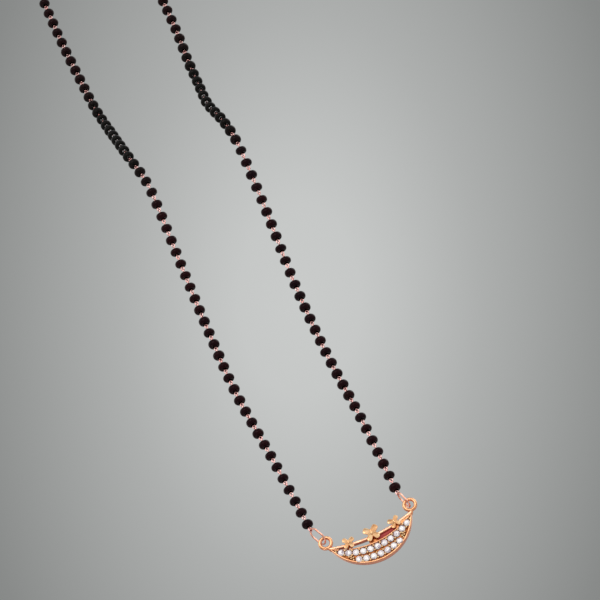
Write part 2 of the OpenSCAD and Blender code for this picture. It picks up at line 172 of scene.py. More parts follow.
floor_z = -1.2
floor_size = 12
floor_mesh = bpy.data.meshes.new("floor")
half_floor = floor_size / 2
floor_mesh.from_pydata(
    [(x, y, floor_z) for x, y in ((-1, -1), (1, -1), (1, 1), (-1, 1))], [], [(0, 1, 2, 3)]
)
floor_mesh.transform(Matrix.Diagonal((half_floor, half_floor, 1, 1)))
floor = bpy.data.objects.new("floor", floor_mesh)
bpy.context.scene.collection.objects.link(floor)
paint = bpy.data.materials.new("pale_floor")
paint.use_nodes = True
f = Nodes(paint.node_tree)
floor_noise = f.add("TexNoise", {"Scale": 3.0, "Detail": 3.0}).outputs["Fac"]
floor_shade = f.ramp(floor_noise, [(0.3, [linear(196)] * 3), (0.7, [linear(204)] * 3)])
floor_paint = f.add("BsdfPrincipled", {"Base Color": floor_shade, "Roughness": 0.8})
f.add("OutputMaterial", {"Surface": floor_paint.outputs[0]})
floor_mesh.materials.append(paint)


def soft_box(name, place, size, power, colour):
    """A flat lamp that looks at the pendant. Its place is how far right, up and towards the camera."""
    data = bpy.data.lights.new(name, "AREA")
    data.shape = "RECTANGLE"
    data.size, data.size_y = size
    data.energy = power
    data.color = colour
    lamp = bpy.data.objects.new(name, data)
    bpy.context.scene.collection.objects.link(lamp)
    lamp.location = pendant_at + place[0] * right - place[1] * down - place[2] * forward
    lamp.rotation_mode = "QUATERNION"
    lamp.rotation_quaternion = (pendant_at - lamp.location).to_track_quat("-Z", "Y")


soft_box("key_light", (-0.45, 0.75, 0.7), (0.6, 0.45), 2.2, (1, 0.985, 0.96))
soft_box("fill_light", (0.7, 0.2, 0.6), (0.3, 0.7), 0.7, (0.97, 0.98, 1))
soft_box("low_light", (-0.3, -0.7, 0.45), (0.5, 0.2), 0.8, (1, 0.93, 0.9))
soft_box("rim_light", (0.35, 0.6, -0.5), (0.5, 0.3), 0.8, (1, 1, 1))

# The crescent tray of the pendant
# A small brass casting, plated in warm rose-yellow gold: a thick crescent whose two edges stand up as
# rounded rims round a sunken floor. Each stone sits in a cone drilled right through the floor.
crescent_w = 20 * MM
outer_drop = 7.45 * MM
inner_drop = 2.95 * MM
casting_t = 1.5 * MM
lower_rim = 0.44 * MM
upper_rim = 0.34 * MM
rim_h = 0.35 * MM
tray_sections = 150
front_y = -casting_t / 2
floor_y = front_y + rim_h
tip_x = crescent_w / 2


def arc_radius(chord, drop):
    """Radius of the arc through two points a chord apart that reaches a drop below them."""
    return (chord * chord / 4 + drop * drop) / (2 * drop)


class Arc:
    """An arc from tip to tip of the crescent: the point at a share from -1, the left tip, to 1."""

    def __init__(self, drop):
        self.r = arc_radius(crescent_w, drop)
        self.middle_z = self.r - drop
        self.half_angle = math.asin(tip_x / self.r)

    def point(self, share, lift=0.0):
        a = share * self.half_angle
        return Vector((math.sin(a) * (self.r - lift), 0, self.middle_z - math.cos(a) * (self.r - lift)))

    def height(self, x):
        return self.middle_z - math.sqrt(self.r * self.r - x * x)


outer_edge = Arc(outer_drop)
inner_edge = Arc(inner_drop)

# A rim's section: how far across it, as a share of its width, and how many millimetres behind its crest
RIM = [(0, 0.15), (0.05, 0.06), (0.18, 0.015), (0.4, 0), (0.7, 0.02), (0.9, 0.08), (1, 0.17)]
rim_foot = 0.07 * MM
# A rim's foot where it meets the floor: how far out along the foot, and how far down to the floor
FOOT = [(0.15, 0.75), (1, 1)]
# The rounded edges at the back, as shares of their radius in from the side and in from the back
BACK_ROUND = [(0, 1), (0.29, 0.29), (1, 0)]
back_round = 0.1 * MM
least_w = 0.02 * MM
# How much of the rims' rounding is left where the crescent closes
least_crest = 0.2
# Below this width the floor of the crescent rises towards the crests of its rims
full_floor_w = 1.1 * MM


def tray_section(share):
    """One closed section of the tray from its outer to its inner edge and back behind, as 3D points."""
    start = outer_edge.point(share)
    across = inner_edge.point(share) - start
    width = max(across.length, least_w)
    closed = across.length < 0.01 * least_w
    across = Vector((0, 0, 1)) if closed else across.normalized()
    squeeze = min(1, width / (lower_rim + upper_rim + 2 * rim_foot))
    depth = rim_h * min(1, width / full_floor_w)
    low, high, foot = lower_rim * squeeze, upper_rim * squeeze, rim_foot * squeeze
    crest = min(1, depth / rim_h + least_crest)
    profile = [(u * low, min(v * MM * crest, depth)) for u, v in RIM]
    profile += [(low + u * foot, v * depth) for u, v in FOOT]
    profile += [(width - high - u * foot, v * depth) for u, v in reversed(FOOT)]
    profile += [(width - u * high, min(v * MM * crest, depth)) for u, v in reversed(RIM)]
    bend = min(back_round, width / 3)
    profile += [(width - u * bend, casting_t - v * bend) for u, v in BACK_ROUND]
    profile += [(u * bend, casting_t - v * bend) for u, v in reversed(BACK_ROUND)]
    return [start + u * across + Vector((0, front_y + v, 0)) for u, v in profile]


def loft(sections, hoop=False):
    """A closed shell through rings of as many points each: its points and its faces."""
    n, k = len(sections), len(sections[0])
    points = [p for ring in sections for p in ring]
    faces = []
    for i in range(n if hoop else n - 1):
        a, b = i * k, (i + 1) % n * k
        faces += [(a + j, a + (j + 1) % k, b + (j + 1) % k, b + j) for j in range(k)]
    if not hoop:
        faces.append(tuple(range(k - 1, -1, -1)))
        faces.append(tuple(range((n - 1) * k, n * k)))
    return points, faces


def moved(shell, matrix):
    """The same shell in another place."""
    return [matrix @ Vector(p) for p in shell[0]], shell[1]


def build(name, shells, finish, sharp=35):
    """One mesh object made of closed shells, smooth but for edges sharper than an angle."""
    points, faces = [], []
    for shell in shells:
        start = len(points)
        points += [tuple(p) for p in shell[0]]
        faces += [tuple(i + start for i in face) for face in shell[1]]
    mesh = bpy.data.meshes.new(name)
    mesh.from_pydata(points, [], faces)
    shape = bmesh.new()
    shape.from_mesh(mesh)
    bmesh.ops.recalc_face_normals(shape, faces=shape.faces)
    shape.to_mesh(mesh)
    shape.free()
    mesh.shade_smooth()
    mesh.set_sharp_from_angle(angle=math.radians(sharp))
    mesh.materials.append(finish)
    piece = bpy.data.objects.new(name, mesh)
    bpy.context.scene.collection.objects.link(piece)
    return piece


def lathe(profile, sides):
    """A shell turned about the Z axis, from (radius, height) pairs. A radius of 0 closes an end."""
    points, rings = [], []
    for radius, z in profile:
        count = 1 if radius == 0 else sides
        rings.append(range(len(points), len(points) + count))
        for k in range(count):
            a = 2 * math.pi * k / sides
            points.append(Vector((radius * math.cos(a), radius * math.sin(a), z)))
    faces = []
    for low, high in zip(rings, rings[1:]):
        for k in range(sides):
            corners = [low[k % len(low)], low[(k + 1) % len(low)]]
            corners += [high[(k + 1) % len(high)], high[k % len(high)]]
            faces.append(tuple(dict.fromkeys(corners)))
    return points, faces


# How near another surface has to be to shade the metal
shading_reach = 0.7 * MM


def plated_gold(name, light, shade, recess, belly, rough=0.28):
    """Plated metal with faint waves and grains: light to shade in patches, painted shade in the recess
    colour where other metal is near, and painted shade with a reddish painted reflection in the belly
    colour on the faces that look down. All four are colours."""
    finish = bpy.data.materials.new(name)
    finish.use_nodes = True
    m = Nodes(finish.node_tree)
    place = m.add("TexCoord").outputs["Object"]
    patches = m.add("TexNoise", {"Vector": place, "Scale": 700.0, "Detail": 4.0}).outputs["Fac"]
    metal = m.ramp(patches, [(0.35, shade), (0.62, light)])
    # Painted shade and reddish reflection: faces that look down turn to the belly colour
    facing_down = m.dot(m.add("TexCoord").outputs["Normal"], (0, 0.3, -1))
    underside_shade_share = m.ramp(facing_down, [(0.1, (0, 0, 0)), (0.8, (1, 1, 1))])
    tint = m.add("MixRGB", {0: underside_shade_share, 1: metal, 2: (*belly, 1)}).outputs[0]
    # Painted shade: near other metal the colour turns to the recess colour
    hollow = m.add("AmbientOcclusion", {"Distance": shading_reach}, samples=8).outputs["AO"]
    depth = m.ramp(hollow, [(0.3, (0, 0, 0)), (0.85, (1, 1, 1))])
    tint = m.add("MixRGB", {0: depth, 1: (*recess, 1), 2: tint}).outputs[0]
    fine = m.add("TexNoise", {"Vector": place, "Scale": 5200.0, "Detail": 3.0}).outputs["Fac"]
    smooth_end, rough_end = rough * 0.75, rough * 1.35
    roughness = m.add("MapRange", {0: fine, 1: 0.3, 2: 0.7, 3: smooth_end, 4: rough_end}).outputs[0]
    waves = m.add("TexNoise", {"Vector": place, "Scale": 1500.0, "Detail": 2.0}).outputs["Fac"]
    relief = m.add("Bump", {"Height": waves, "Strength": 0.35, "Distance": 0.04 * MM}).outputs[0]
    relief = m.add("Bump", {"Height": fine, "Strength": 0.2, "Distance": 0.01 * MM, "Normal": relief})
    gold = m.add(
        "BsdfPrincipled",
        {"Base Color": tint, "Metallic": 1.0, "Roughness": roughness, "Normal": relief.outputs[0]},
    )
    m.add("OutputMaterial", {"Surface": gold.outputs[0]})
    return finish


gold_finish = plated_gold(
    "rose_yellow_gold",
    (0.98, 0.53, 0.28),
    (0.88, 0.4, 0.19),
    (0.42, 0.1, 0.03),
    (0.93, 0.37, 0.22),
)
# Painted shade: the sunken floor between the rims is much darker gold than the rims
shaded_floor_finish = plated_gold(
    "shaded_sunken_gold",
    (0.5, 0.18, 0.055),
    (0.27, 0.08, 0.022),
    (0.08, 0.016, 0.005),
    (0.3, 0.08, 0.022),
    rough=0.4,
)

# The two rows of stones follow the tray's edges, each at an even step
stone_d = 1.5 * MM
seat_gap = 0.05 * MM
stone_lift = 0.14 * MM
stone_y = floor_y - stone_lift
# For each row how many stones, their step, its arc's radius and how far its middle is below the tips
UPPER_ROW = (11, 1.69 * MM, 0.874 * inner_edge.r, inner_drop + 1.15 * MM)
LOWER_ROW = (7, 1.69 * MM, 1.399 * outer_edge.r, outer_drop - 1.45 * MM)


def row_point(row, i, lift=0.0):
    """The place of stone i of a row, counted from 1 at the left, or of a point beside the row."""
    count, step, r, bottom = row
    a = (i - (count + 1) / 2) * step / r
    return Vector(((r - lift) * math.sin(a), 0, r - bottom - (r - lift) * math.cos(a)))


girdle = 0.03 * MM
pavilion = 0.43 * stone_d + seat_gap
back_hole_r = 0.225 * stone_d
seat_r = stone_d / 2 + seat_gap
seat_end_r = 0.16 * seat_r
hole_share = (seat_r - back_hole_r) / (seat_r - seat_end_r)
past_front = -1 * MM
past_back = 2 * MM
seat_profile = [
    (0, past_front),
    (seat_r, past_front),
    (seat_r, girdle),
    (back_hole_r, girdle + hole_share * pavilion),
    (back_hole_r, past_back),
    (0, past_back),
]
face_front = Matrix.Rotation(math.radians(-90), 4, "X")
seats = [
    row_point(row, i) + Vector((0, stone_y, 0))
    for row in (UPPER_ROW, LOWER_ROW)
    for i in range(1, row[0] + 1)
]
seat_cutters = build(
    "seat_cutters",
    [moved(lathe(seat_profile, sides=32), Matrix.Translation(p) @ face_front) for p in seats],
    gold_finish,
)
tray = build(
    "pendant_tray",
    [loft([tray_section(i / tray_sections * 2 - 1) for i in range(tray_sections + 1)])],
    gold_finish,
)


def cut(piece, cutters):
    """Cuts one object out of another and keeps the result as the first one's mesh."""
    step = piece.modifiers.new("cut", "BOOLEAN")
    step.operation = "DIFFERENCE"
    step.solver = "EXACT"
    step.object = cutters
    result = bpy.data.meshes.new_from_object(
        piece.evaluated_get(bpy.context.evaluated_depsgraph_get())
    )
    piece.modifiers.clear()
    piece.data = result
    bpy.data.objects.remove(cutters)


cut(tray, seat_cutters)
tray.data.shade_smooth()
tray.data.set_sharp_from_angle(angle=math.radians(35))
# The floor between the rims is duller than they are, and painted darker as shade in the sunken floor
tray.data.materials.append(shaded_floor_finish)
near_floor = 0.1 * rim_h
for face in tray.data.polygons:
    if face.normal.y < -0.9 and abs(face.center.y - floor_y) < near_floor:
        face.material_index = 1
to_pendant = Matrix.Translation(pendant_at)


def mount_on_pendant(piece):
    """Puts a piece made in the pendant's own frame in its place, to swing with the pendant."""
    piece.data.transform(to_pendant)
    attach(piece, "pendant")


mount_on_pendant(tray)
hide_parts("pendant_frame")

# The bar and the rings at the tips
# They are cast in one with the tray. A rounded bar spans the tips above the crescent, and a round ring
# stands on a short flared neck at each tip, where the links hang through.
bar_rise = 1.45 * MM
bar_w = 0.65 * MM
bar_t = 1.2 * MM
bar_line = Arc(inner_drop - bar_rise)
bar_sections = 70
bar_corner = 0.2 * MM


def rounded_box(width, depth, corner, steps=4):
    """A rectangle with rounded corners, as (u, v) pairs round its middle."""
    outline = []
    for quarter, (su, sv) in enumerate(((1, 1), (-1, 1), (-1, -1), (1, -1))):
        for k in range(steps + 1):
            a = math.pi / 2 * (quarter + k / steps)
            u = su * (width / 2 - corner) + corner * math.cos(a)
            v = sv * (depth / 2 - corner) + corner * math.sin(a)
            outline.append((u, v))
    return outline


def bar_section(share):
    middle = bar_line.point(share)
    up = (bar_line.point(share, bar_w) - middle).normalized()
    middle += Vector((0, front_y + bar_t / 2, 0))
    outline = rounded_box(bar_w, bar_t, bar_corner)
    return [middle + u * up + Vector((0, v, 0)) for u, v in outline]


ring_r = 1.3 * MM
ring_wire_r = 0.4 * MM
ring_turn = math.radians(10)
neck_l = 0.25 * MM
ring_stand = neck_l + ring_r + ring_wire_r


def hoop_path(r, steps=48):
    """A circle in the XZ plane about the origin."""
    angles = [2 * math.pi * k / steps for k in range(steps)]
    return [Vector((r * math.sin(a), 0, -r * math.cos(a))) for a in angles]


def wire(path, radius, sides=12, hoop=False):
    """Round wire along a path. Its section turns as little as it can from one point to the next."""
    n = len(path)
    side, rings = None, []
    for i, p in enumerate(path):
        before = path[i - 1] if hoop or i > 0 else p
        after = path[(i + 1) % n] if hoop or i < n - 1 else p
        run = (after - before).normalized()
        if side is None:
            spare = Vector((0, 1, 0)) if abs(run.y) < 0.9 else Vector((1, 0, 0))
            side = run.cross(spare)
        side = (side - side.dot(run) * run).normalized()
        other = run.cross(side)
        r = radius[i] if isinstance(radius, list) else radius
        angles = [2 * math.pi * k / sides for k in range(sides)]
        rings.append([p + r * (math.cos(a) * side + math.sin(a) * other) for a in angles])
    return loft(rings, hoop)


# The neck's radius in millimetres at shares of its way from inside the tip to the ring's wire
NECK = [(0, 0.06), (0.3, 0.24), (0.55, 0.36), (0.8, 0.37), (1, 0.38)]
neck_root = 0.6 * MM
boss_r = 0.44 * MM
boss_at = Vector((-0.34, -0.28, -0.14)) * MM
pit_r = 0.16 * MM
pit_depth = 0.35 * MM


def pitted_boss(steps=12):
    """A ball with a small round-bottomed pit punched into one end, towards -Z."""
    pit_angle = math.asin(pit_r / boss_r)
    profile = [(0, -boss_r + pit_depth), (0.8 * pit_r, -boss_r + 0.7 * pit_depth)]
    for k in range(steps):
        a = pit_angle + (math.pi - pit_angle) * k / steps
        profile.append((boss_r * math.sin(a), -boss_r * math.cos(a)))
    return lathe(profile + [(0, boss_r)], sides=24)


def tip_ring(side):
    """A ring and its neck at one tip, and the small boss in front that closes the crescent's point."""
    turn = Matrix.Translation((side * tip_x, 0, 0)) @ Matrix.Rotation(side * ring_turn, 4, "Y")
    hoop = wire(hoop_path(ring_r), ring_wire_r, sides=16, hoop=True)
    neck_run = neck_root + neck_l + ring_wire_r
    neck = wire(
        [Vector((0, 0, -neck_root + share * neck_run)) for share, _ in NECK],
        [r * MM for _, r in NECK],
        sides=16,
    )
    boss_place = Vector((side * (tip_x + boss_at.x), boss_at.y, boss_at.z))
    return [
        moved(hoop, turn @ Matrix.Translation((0, 0, ring_stand))),
        moved(neck, turn),
        moved(pitted_boss(), Matrix.Translation(boss_place) @ face_front),
    ]


# The bar's gold is pinker and rougher than the casting's; its dark belly colour is a painted shade on
# its underside
bar_finish = plated_gold(
    "rosy_bar_gold",
    (0.96, 0.53, 0.34),
    (0.84, 0.4, 0.25),
    (0.4, 0.1, 0.035),
    (0.5, 0.15, 0.08),
    rough=0.32,
)
bar = build(
    "pendant_bar",
    [loft([bar_section(i / bar_sections * 2 - 1) for i in range(bar_sections + 1)])],
    bar_finish,
)
mount_on_pendant(bar)
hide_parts("pendant_frame")
tip_rings = build("pendant_rings", tip_ring(-1) + tip_ring(1), gold_finish)
mount_on_pendant(tip_rings)
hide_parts("pendant_frame")

# The web in the right window
# The window between the bar and the crescent is open on the left. From the middle butterfly to the
# right a thin web closes it behind the bar's front. Between the two butterflies its front is painted
# dark red, a painted shade with a reddish painted reflection, and the rest of it is gold painted darker
# as shade.
web_t = 0.4 * MM
web_set_back = 0.45 * MM
web_end_set_back = 0.08 * MM
# Shares of the way to the tip where the web starts, where its painted red shade starts and ends, and
# where it ends
web_start = -0.13
red_shade_start = 0.07
red_shade_end = 0.53
web_end = 0.93
web_sections = 30
web_overlap = 0.1 * MM


def web_section(share, set_back):
    """The web's section from inside the crescent's upper edge to inside the bar."""
    low = inner_edge.point(share) - Vector((0, 0, web_overlap))
    high = bar_line.point(share)
    front = Vector((0, front_y + set_back, 0))
    back = front + Vector((0, web_t, 0))
    return [low + front, high + front, high + back, low + back]


# Painted shade: the dark red sheet stands in for shade with a reddish reflection in the window
red_shade_sheet = bpy.data.materials.new("painted_red_shade")
red_shade_sheet.use_nodes = True
e = Nodes(red_shade_sheet.node_tree)
red_shade_place = e.add("TexCoord").outputs["Object"]
red_shade_streaks = e.add("Mapping", {"Vector": red_shade_place, "Scale": (500.0, 500.0, 2600.0)})
red_shade_waves = e.add("TexNoise", {"Vector": red_shade_streaks.outputs[0], "Scale": 1.0, "Detail": 3.0})
red_shade_tint = e.ramp(
    red_shade_waves.outputs["Fac"], [(0.3, (0.36, 0.03, 0.03)), (0.7, (0.62, 0.09, 0.085))]
)
red_shade_relief = e.add(
    "Bump", {"Height": red_shade_waves.outputs["Fac"], "Strength": 0.3, "Distance": 0.03 * MM}
)
red_shade_gloss = e.add(
    "BsdfPrincipled",
    {"Base Color": red_shade_tint, "Roughness": 0.5, "IOR": 1.3, "Normal": red_shade_relief.outputs[0]},
)
e.add("OutputMaterial", {"Surface": red_shade_gloss.outputs[0]})
# Painted shade: the web's bare gold is darker than the casting's gold
shaded_web_finish = plated_gold(
    "shaded_web_gold",
    (0.9, 0.42, 0.18),
    (0.75, 0.3, 0.11),
    (0.6, 0.2, 0.06),
    (0.6, 0.22, 0.09),
    rough=0.45,
)
for name, start, end, set_back, finish in (
    ("window_web_start", web_start, red_shade_start, web_set_back, shaded_web_finish),
    ("window_web", red_shade_start, red_shade_end, web_set_back, red_shade_sheet),
    ("window_web_end", red_shade_end, web_end, web_end_set_back, shaded_web_finish),
):
    steps = [start + (end - start) * i / web_sections for i in range(web_sections + 1)]
    web = build(name, [loft([web_section(share, set_back) for share in steps])], finish)
    web.data.materials.append(shaded_web_finish)
    for face in web.data.polygons:
        if face.normal.y > 0.9:
            face.material_index = 1
    mount_on_pendant(web)
    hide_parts("pendant_frame")

# The butterflies
# Three small butterflies are cast on the bar, the middle one larger. Each has four dished petal wings
# that fold back from a slim body.
butterfly_span = 3.3 * MM
side_butterfly = 0.74
side_butterfly_x = 5.6 * MM
side_butterfly_lean = math.radians(12)
wing_fold = math.radians(20)
wing_t = 0.42 * MM
wing_back = 0.5 * MM
butterfly_rise = 0.8 * MM
side_butterfly_rise = 0.45 * MM
butterfly_y = front_y - 0.15 * MM
# Angle from straight up, reach from the body and width of the blunt end, both as shares of the span
WINGS = [(49, 0.63, 0.41), (145, 0.61, 0.4)]
root_share = 0.92
root_flatness = 0.4
# How square a wing's end is: 2 is round
blunt = 2.6
petal_steps = 40
petal_end_steps = 28
# A wing's rounded back edge: how much of its outline, and how far through its thickness
PETAL_BACK = [(0.94, 1.0), (1.0, 0.9)]
# From a wing's side over its rim into its dish: how much of its outline, and what share of dish_t deep
PETAL_DISH = [
    (1.0, 0.1), (0.985, 0.03), (0.94, 0.0), (0.86, 0.03), (0.66, 0.1), (0.42, 0.17), (0.2, 0.2)
]
dish_t = 0.5 * MM
dish_middle = 0.8


def petal_outline(reach, end_w):
    """A petal from its narrow root at the origin to its round end, up along Z."""
    end_r = end_w / 2
    root_r = end_r * root_share
    lean = math.asin((end_r - root_r) / (reach - end_r))
    outline = []
    for k in range(petal_end_steps + 1):
        a = -lean + (math.pi + 2 * lean) * k / petal_end_steps
        r = end_r * (abs(math.cos(a)) ** blunt + abs(math.sin(a)) ** blunt) ** (-1 / blunt)
        outline.append((r * math.cos(a), reach - end_r + r * math.sin(a)))
    rest = petal_steps - petal_end_steps
    for k in range(1, rest):
        a = math.pi + lean + (math.pi - 2 * lean) * k / rest
        outline.append((root_r * math.cos(a), root_r * root_flatness * (math.sin(a) + 1)))
    return outline


def petal(reach, end_w, span):
    """One wing that faces -Y: a closed shell with a raised round rim and a dished middle."""
    outline = [Vector((u, 0, v)) for u, v in petal_outline(reach * span, end_w * span)]
    middle = Vector((0, 0, (reach - end_w / 2) * span * dish_middle))
    levels = [(share, depth * (wing_t + wing_back)) for share, depth in PETAL_BACK]
    levels += [(share, depth * dish_t * span / butterfly_span) for share, depth in PETAL_DISH]
    return loft([
        [middle + share * (p - middle) + Vector((0, depth - wing_t, 0)) for p in outline]
        for share, depth in levels
    ])


# The slim body from its lower to its upper end: how far along, and how thick as a share of its radius
BODY = [
    (0, 0.25), (0.03, 0.6), (0.1, 0.9), (0.25, 1), (0.5, 0.92), (0.75, 0.95), (0.9, 0.8), (0.97, 0.55),
    (1, 0.2),
]
# Half of the body's length and its radius, as shares of the span
body_half_l = 0.21
body_r = 0.058
body_lift = 0.02 * MM
body_y = -wing_t - body_lift


def butterfly(span):
    """The four wings and the body of one butterfly, as shells about its middle."""
    shells = []
    for side in (-1, 1):
        fold = Matrix.Rotation(side * wing_fold, 4, "Z")
        for angle, reach, end_w in WINGS:
            turn = Matrix.Rotation(side * math.radians(angle), 4, "Y")
            shells.append(moved(petal(reach, end_w, span), fold @ turn))
    line = [Vector((0, body_y, (2 * share - 1) * body_half_l * span)) for share, _ in BODY]
    shells.append(wire(line, [width * body_r * span for _, width in BODY]))
    return shells


# Painted light and shade: the butterflies' gold is paler than the casting's as painted light, with a
# lighter recess colour and a dark belly colour as painted shade on the wings' undersides
lit_petal_finish = plated_gold(
    "painted_lit_gold",
    (1, 0.68, 0.38),
    (0.92, 0.48, 0.22),
    (0.6, 0.22, 0.07),
    (0.5, 0.17, 0.05),
    rough=0.25,
)
middle_butterfly = build("butterfly_middle", butterfly(butterfly_span), lit_petal_finish, sharp=50)
middle_butterfly.data.transform(
    Matrix.Translation((0, butterfly_y, bar_line.height(0) + butterfly_rise))
)
mount_on_pendant(middle_butterfly)
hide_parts("pendant_frame")
for side, side_name in ((-1, "butterfly_left"), (1, "butterfly_right")):
    small = build(side_name, butterfly(butterfly_span * side_butterfly), lit_petal_finish, sharp=50)
    perch = Vector(
        (side * side_butterfly_x, butterfly_y, bar_line.height(side_butterfly_x) + side_butterfly_rise)
    )
    small.data.transform(
        Matrix.Translation(perch) @ Matrix.Rotation(-side * side_butterfly_lean, 4, "Y")
    )
    mount_on_pendant(small)
    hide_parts("pendant_frame")

# The prong grains
# Small beads of metal raised from the floor. Pairs of them hold neighbouring stones, and more of them
# fill the narrow ends of the crescent.
grain_r = 0.26 * MM
grain_side = 0.56 * MM
grain_lift = 0.17 * MM
# Beside the lower row's ends: how many steps of the row past the last stone, and how many millimetres
# above the row
END_GRAINS = [(0.72, -0.1), (0.76, 0.42), (1.05, 0.22), (1.1, 0.7), (1.38, 0.55)]
# Beside the upper row's ends: how many steps of the row past the last stone
tip_grain = 0.68


def ball(radius, sides=14, rings=8):
    """A ball about the origin."""
    angles = [math.pi * k / rings for k in range(1, rings)]
    belt = [(radius * math.sin(a), -radius * math.cos(a)) for a in angles]
    return lathe([(0, -radius)] + belt + [(0, radius)], sides)


grain_places = []
for row in (UPPER_ROW, LOWER_ROW):
    for i in range(1, row[0]):
        grain_places += [row_point(row, i + 0.5, lift) for lift in (-grain_side, grain_side)]
for end in (-1, 1):
    lower_end = (LOWER_ROW[0] + 1) / 2 + end * (LOWER_ROW[0] - 1) / 2
    for past, above in END_GRAINS:
        grain_places.append(row_point(LOWER_ROW, lower_end + end * past, above * MM))
    upper_end = (UPPER_ROW[0] + 1) / 2 + end * (UPPER_ROW[0] - 1) / 2
    grain_places.append(row_point(UPPER_ROW, upper_end + end * tip_grain))
# Painted highlight: the grains' gold is paler than the casting's, with a much lighter recess colour
lit_grain_finish = plated_gold(
    "highlit_grain_gold",
    (1, 0.78, 0.45),
    (1, 0.62, 0.31),
    (0.8, 0.36, 0.12),
    (0.6, 0.24, 0.08),
    rough=0.3,
)
raised = Vector((0, floor_y - grain_lift, 0))
grains = build(
    "prong_grains",
    [moved(ball(grain_r), Matrix.Translation(p + raised)) for p in grain_places],
    lit_grain_finish,
)
mount_on_pendant(grains)
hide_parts("pendant_frame")

# The clear stones
# Eighteen round brilliants of clear cubic zirconia, 1.5 mm across, keep their cut shapes. Their colour
# is painted reflection: cells of white with faint lilac and grey stand in for the light that comes back
# from their facets, and a faint painted glow lights them.
crystal = bpy.data.materials.new("clear_crystal")
crystal.use_nodes = True
c = Nodes(crystal.node_tree)
crystal_place = c.add("TexCoord").outputs["Object"]
glint_cells = c.add("TexVoronoi", {"Vector": crystal_place, "Scale": 2300.0}).outputs["Color"]
painted_glint_tint = c.ramp(
    c.dot(glint_cells, (1, 0, 0)),
    [
        (0.1, (0.4, 0.32, 0.4)),
        (0.24, (0.82, 0.74, 0.79)),
        (0.4, (1, 0.94, 0.94)),
        (0.8, (1, 0.985, 0.97)),
    ],
)
# Painted light: the stones glow faintly white
crystal_glass = c.add(
    "BsdfPrincipled",
    {
        "Base Color": painted_glint_tint,
        "Roughness": 0.1,
        "IOR": 1.8,
        "Transmission Weight": 0.12,
        "Emission Color": (1, 0.96, 0.96, 1),
        "Emission Strength": 0.06,
    },
)
c.add("OutputMaterial", {"Surface": crystal_glass.outputs[0]})
for node_name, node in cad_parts.items():
    if node_name.startswith("stone_"):
        node.data.materials.clear()
        node.data.materials.append(crystal)

# The two oval links
# Plain closed ovals of round gold wire join the rings to the strands. Each stands in its ring's hole
# and leans the way that its strand pulls.
link_r = 0.21 * MM
ring_reach = Vector((math.sin(ring_turn), 0, math.cos(ring_turn))) * ring_stand


def link_foot(side, shift):
    """The middle of a link's lower wire, in its ring's hole."""
    return pendant_at + Vector((side * (tip_x + ring_reach.x), 0, ring_reach.z)) + Vector(shift) * MM


# Where each link stands, how far it leans and is turned, its outer length and the radius of its ends
LINKS = {
    "left_link": (
        link_foot(-1, (0, 0, 0.2)),
        math.radians(-24),
        math.radians(-28),
        5 * MM,
        1.39 * MM,
    ),
    "right_link": (
        link_foot(1, (-0.1, 0, -0.3)),
        math.radians(-18),
        math.radians(-12),
        4.6 * MM,
        1.19 * MM,
    ),
}


def oval_path(length, r, steps=18):
    """An upright oval in the XZ plane that stands on the middle of its lower wire."""
    straight = length - 2 * link_r - 2 * r
    path = []
    for k in range(steps + 1):
        a = math.pi * (k / steps - 0.5)
        path.append(Vector((r * math.sin(a), 0, r - r * math.cos(a))))
    for k in range(steps + 1):
        a = math.pi * (k / steps - 0.5)
        path.append(Vector((-r * math.sin(a), 0, r + straight + r * math.cos(a))))
    return path


link_finish = plated_gold(
    "rose_gold_wire",
    (0.97, 0.54, 0.4),
    (0.86, 0.37, 0.26),
    (0.34, 0.07, 0.04),
    (0.88, 0.35, 0.24),
    rough=0.2,
)
for name, (foot, lean, turn, length, end_r) in LINKS.items():
    oval = wire(oval_path(length, end_r), link_r, sides=14, hoop=True)
    stand = (
        Matrix.Translation(foot)
        @ Matrix.Rotation(lean, 4, "Y")
        @ Matrix.Rotation(math.pi / 2 - turn, 4, "Z")
    )
    link = build("gold_" + name, [moved(oval, stand)], link_finish)
    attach(link, "string")
    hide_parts(name)

# The strands of black beads
# Each strand is 65 pressed glass beads, black with a soft shine, that hang a little unevenly from one
# another. They follow a few chosen points, in millimetres, from the links up to the round turn behind
# the neck.
LEFT_ROUTE = [
    [-7.5, -35.5, -181], [-9, -34, -162], [-9, -32, -142], [-8.5, -31, -123], [-8, -31.5, -110],
    [-8, -32, -102], [-9.5, -29.5, -93], [-10.5, -24.5, -85.5], [-11.5, -18.5, -77.5],
    [-12.5, -14, -69], [-13, -11, -59], [-13.5, -8, -45], [-13.5, -5.5, -28],
]
RIGHT_ROUTE = [
    [14.5, -35.5, -181], [13.5, -33, -162], [13.5, -31, -142], [14.5, -31.5, -123], [15, -33, -110],
    [15, -33.5, -102], [14, -30, -94], [12.5, -25, -86.5], [12.5, -20, -78],
    [12.5, -16, -69], [13, -13.5, -59], [13, -10, -44], [13, -6.5, -28],
]
turn_r = 13.6 * MM
turn_lean = math.radians(11)
clasp_d = 3 * MM
clasp_l = 8 * MM
eye_d = 1.4 * MM
end_wire = 0.36 * MM
clasp_ring_x = clasp_l / 2 + eye_d / 2 - end_wire
clasp_eye_x = clasp_ring_x + (eye_d - end_wire) / 2
bead_d = 2.5 * MM
bead_l = 1.8 * MM
bead_hole_r = 0.45 * MM
lip = 0.13 * MM
bead_pitch = 3.25 * MM
eye_space = 0.1 * MM
eye_to_bead = (eye_d + bead_l) / 2 + eye_space
turn_steps = 4


def turn_points(side):
    """The round turn from the side of the loop to the clasp, as points of one arc."""
    end = math.acos(clasp_eye_x / turn_r)
    points = []
    for k in range(turn_steps + 1):
        a = end * k / turn_steps
        fall = turn_r * (math.sin(a) - 1)
        points.append(Vector((
            side * turn_r * math.cos(a),
            fall * math.sin(turn_lean),
            fall * math.cos(turn_lean) + clasp_d / 2,
        )))
    return points


